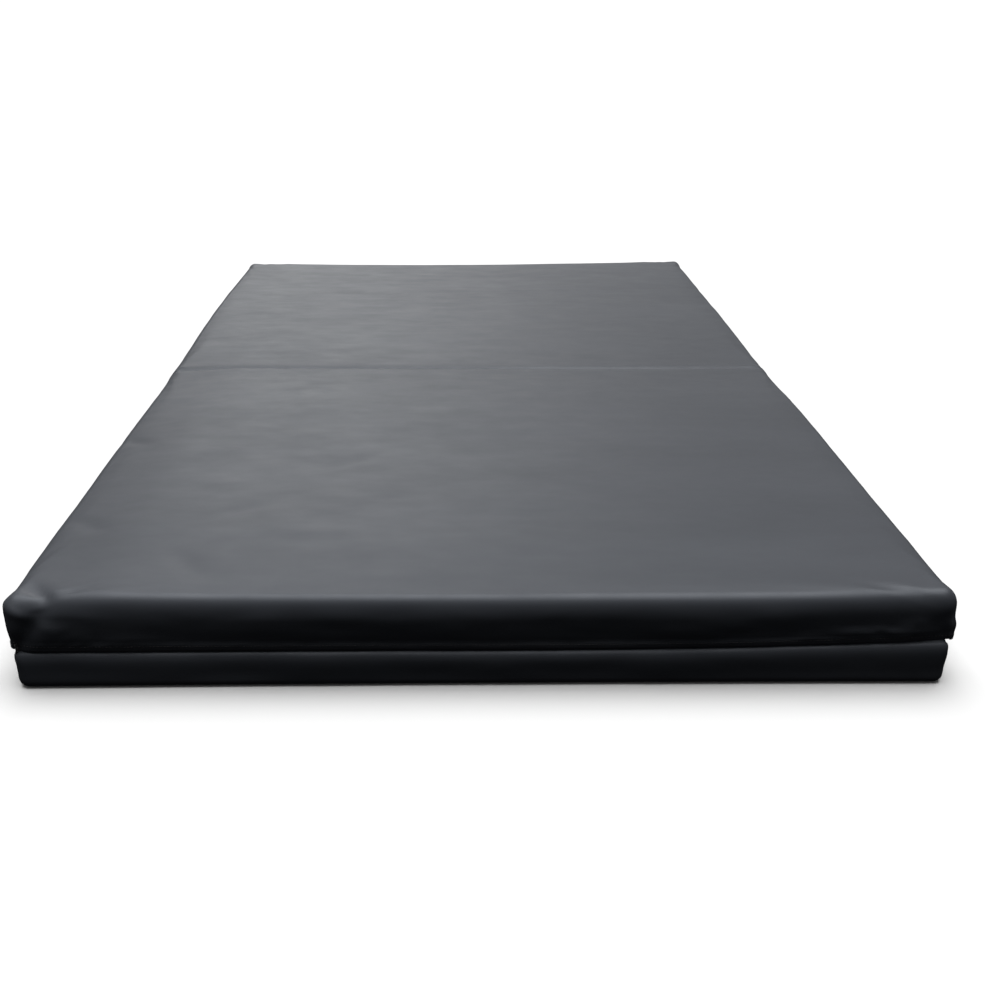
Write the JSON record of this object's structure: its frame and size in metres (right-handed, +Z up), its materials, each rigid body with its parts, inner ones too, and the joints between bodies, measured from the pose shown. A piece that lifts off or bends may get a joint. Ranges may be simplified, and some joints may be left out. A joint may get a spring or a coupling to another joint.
{
  "type": "folding gym mat",
  "caption": "Thick rectangular bi-fold gym mat: two foam panels in zipped black vinyl covers, joined by a fabric hinge along the top face.",
  "frame": {"origin": "centre of the mat's underside, on the floor, under the fold line", "axes": "+Z up from the floor; +Y along the mat's length, from the front panel to the rear panel; the fold line runs along X"},
  "size_m": [1.2, 2, 0.119],
  "materials": {
    "vinyl": "black satin vinyl",
    "base_vinyl": "matte grip vinyl",
    "foam": "open-cell foam",
    "webbing": "woven",
    "zip_tape": "woven",
    "zip_teeth": "satin",
    "zip_metal": "black"
  },
  "bodies": {
    "rear_panel": {"foam_core_rear": "foam", "top_cover_rear": "vinyl", "side_band_rear": "vinyl", "base_sheet_rear": "base_vinyl", "fold_wall_rear": "vinyl", "fold_tape_rear": "webbing", "zip_tape_upper_rear": "zip_tape", "zip_tape_lower_rear": "zip_tape", "zip_teeth_upper_rear": "zip_teeth", "zip_teeth_lower_rear": "zip_teeth", "zip_top_stop_rear": "zip_metal", "zip_bottom_stop_rear": "zip_metal"},
    "rear_slider": {"zip_slider_rear": "zip_metal"},
    "rear_pull": {"zip_pull_rear": "zip_metal"},
    "front_panel": {"foam_core_front": "foam", "top_cover_front": "vinyl", "side_band_front": "vinyl", "base_sheet_front": "base_vinyl", "fold_wall_front": "vinyl", "fold_tape_front": "webbing", "zip_tape_upper_front": "zip_tape", "zip_tape_lower_front": "zip_tape", "zip_teeth_upper_front": "zip_teeth", "zip_teeth_lower_front": "zip_teeth", "zip_top_stop_front": "zip_metal", "zip_bottom_stop_front": "zip_metal"},
    "front_slider": {"zip_slider_front": "zip_metal"},
    "front_pull": {"zip_pull_front": "zip_metal"}
  },
  "joints": [
    {"name": "fold", "type": "hinge", "parent": "rear_panel", "child": "front_panel", "pos_m": [0, 0, 0.1215], "axis": [-1, 0, 0], "range_deg": [0, 180]},
    {"name": "rear_slider_travel", "type": "slide", "parent": "rear_panel", "child": "rear_slider", "axis": [0, 1, 0], "range_m": [0, 0.93]},
    {"name": "rear_pull_swing", "type": "hinge", "parent": "rear_slider", "child": "rear_pull", "pos_m": [-0.5951, 0.0245, 0.059], "axis": [1, 0, 0], "range_deg": [0, 48]},
    {"name": "front_slider_travel", "type": "slide", "parent": "front_panel", "child": "front_slider", "axis": [0, -1, 0], "range_m": [0, 0.93]},
    {"name": "front_pull_swing", "type": "hinge", "parent": "front_slider", "child": "front_pull", "pos_m": [0.5951, -0.0245, 0.059], "axis": [-1, 0, 0], "range_deg": [0, 48]}
  ]
}
